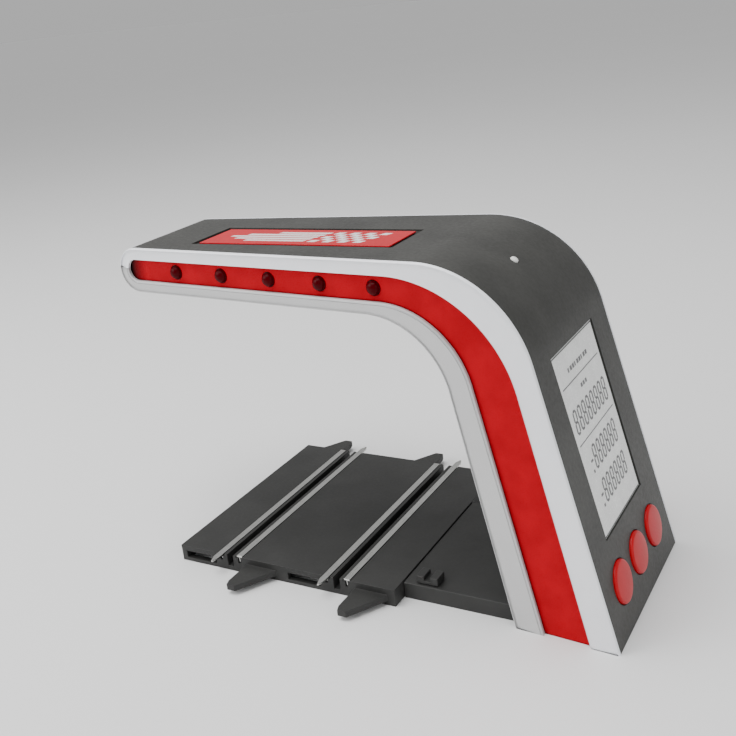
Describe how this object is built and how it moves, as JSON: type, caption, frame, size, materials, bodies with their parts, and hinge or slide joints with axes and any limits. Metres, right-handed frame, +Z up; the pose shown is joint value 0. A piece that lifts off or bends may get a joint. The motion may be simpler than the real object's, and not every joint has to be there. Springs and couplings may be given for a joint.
{
  "type": "slot car lap counter",
  "caption": "Electronic lap counter arch over a short two-lane slot car track, with red start lamps, a tall display and push buttons.",
  "frame": {"origin": "middle of the whole object's footprint, on the surface it stands on", "axes": "+X across the lanes towards the tower, +Y along the track away from the lamp side, +Z up"},
  "size_m": [0.2307, 0.148, 0.149],
  "materials": {
    "track_plastic": "fine moulded grain",
    "rail_steel": "rolled strip, lightly scuffed",
    "shell_plastic": "satin moulded anthracite",
    "inner_plastic": "fine moulded grain",
    "silver_trim": "satin silver paint on plastic",
    "red_band": "smooth red",
    "lamp_red": "clear dark red",
    "circuit_board": "solder mask",
    "ribbon_cable": "flat cable",
    "red_plate": "printed chequer label",
    "white_lamp": "diffusing",
    "display_cover": "clear cover over grey display",
    "lcd": "reflective display",
    "conductive_rubber": "matt",
    "button_red": "smooth red",
    "contact_pad": "carbon pad",
    "cell_sleeve": "plain sleeve",
    "contact_metal": "nickel plate",
    "screw_steel": "zinc plate",
    "speaker_parts": "black",
    "sensor_window": "dark infrared window"
  },
  "bodies": {
    "root": {"track_bed": "track_plastic", "rail_lane1_left": "rail_steel", "rail_lane1_right": "rail_steel", "rail_lane2_left": "rail_steel", "rail_lane2_right": "rail_steel", "base_plate": "track_plastic", "barrier_socket": "track_plastic", "base_screw_1": "screw_steel", "base_screw_2": "screw_steel", "base_screw_3": "screw_steel", "base_screw_4": "screw_steel", "outer_shell": "shell_plastic", "inner_shell": "inner_plastic", "shell_screw_1": "screw_steel", "shell_screw_2": "screw_steel", "shell_screw_3": "screw_steel", "shell_screw_4": "screw_steel", "front_frame_upper": "silver_trim", "front_frame_lower": "silver_trim", "rear_frame_upper": "silver_trim", "rear_frame_lower": "silver_trim", "front_band": "red_band", "rear_band": "red_band", "lamp_1": "lamp_red", "lamp_2": "lamp_red", "lamp_3": "lamp_red", "lamp_4": "lamp_red", "lamp_5": "lamp_red", "lamp_board": "circuit_board", "lamp_ribbon": "ribbon_cable", "top_plate": "red_plate", "status_lamp": "white_lamp", "display_window": "display_cover", "lcd_panel": "lcd", "lcd_connector_lower": "conductive_rubber", "lcd_connector_upper": "conductive_rubber", "display_board": "circuit_board", "switch_pad_left": "contact_pad", "switch_pad_middle": "contact_pad", "switch_pad_right": "contact_pad", "battery_tray": "inner_plastic", "battery_1": "cell_sleeve", "battery_2": "cell_sleeve", "battery_3": "cell_sleeve", "battery_contact_left": "contact_metal", "battery_contact_right": "contact_metal", "speaker": "speaker_parts", "power_switch_body": "contact_metal", "lane_sensor_1": "sensor_window", "lane_sensor_2": "sensor_window"},
    "left_button": {"button_left": "button_red"},
    "middle_button": {"button_middle": "button_red"},
    "right_button": {"button_right": "button_red"},
    "battery_door": {"battery_cover": "inner_plastic", "battery_cover_screw": "screw_steel"},
    "power_switch": {"power_switch_knob": "inner_plastic"}
  },
  "joints": [
    {"name": "left_button_press", "type": "slide", "parent": "root", "child": "left_button", "axis": [-0.9659, 0, -0.2588], "range_m": [0, 0.0012], "stiffness_N_per_m": 400, "springref_m": -0.0005},
    {"name": "middle_button_press", "type": "slide", "parent": "root", "child": "middle_button", "axis": [-0.9659, 0, -0.2588], "range_m": [0, 0.0012], "stiffness_N_per_m": 400, "springref_m": -0.0005},
    {"name": "right_button_press", "type": "slide", "parent": "root", "child": "right_button", "axis": [-0.9659, 0, -0.2588], "range_m": [0, 0.0012], "stiffness_N_per_m": 400, "springref_m": -0.0005},
    {"name": "battery_door_hinge", "type": "hinge", "parent": "root", "child": "battery_door", "pos_m": [0.06955, -0.012, 0.01642], "axis": [0, -1, 0], "range_deg": [0, 75]},
    {"name": "power_switch_slide", "type": "slide", "parent": "root", "child": "power_switch", "axis": [0, 1, 0], "range_m": [0, 0.004]}
  ]
}
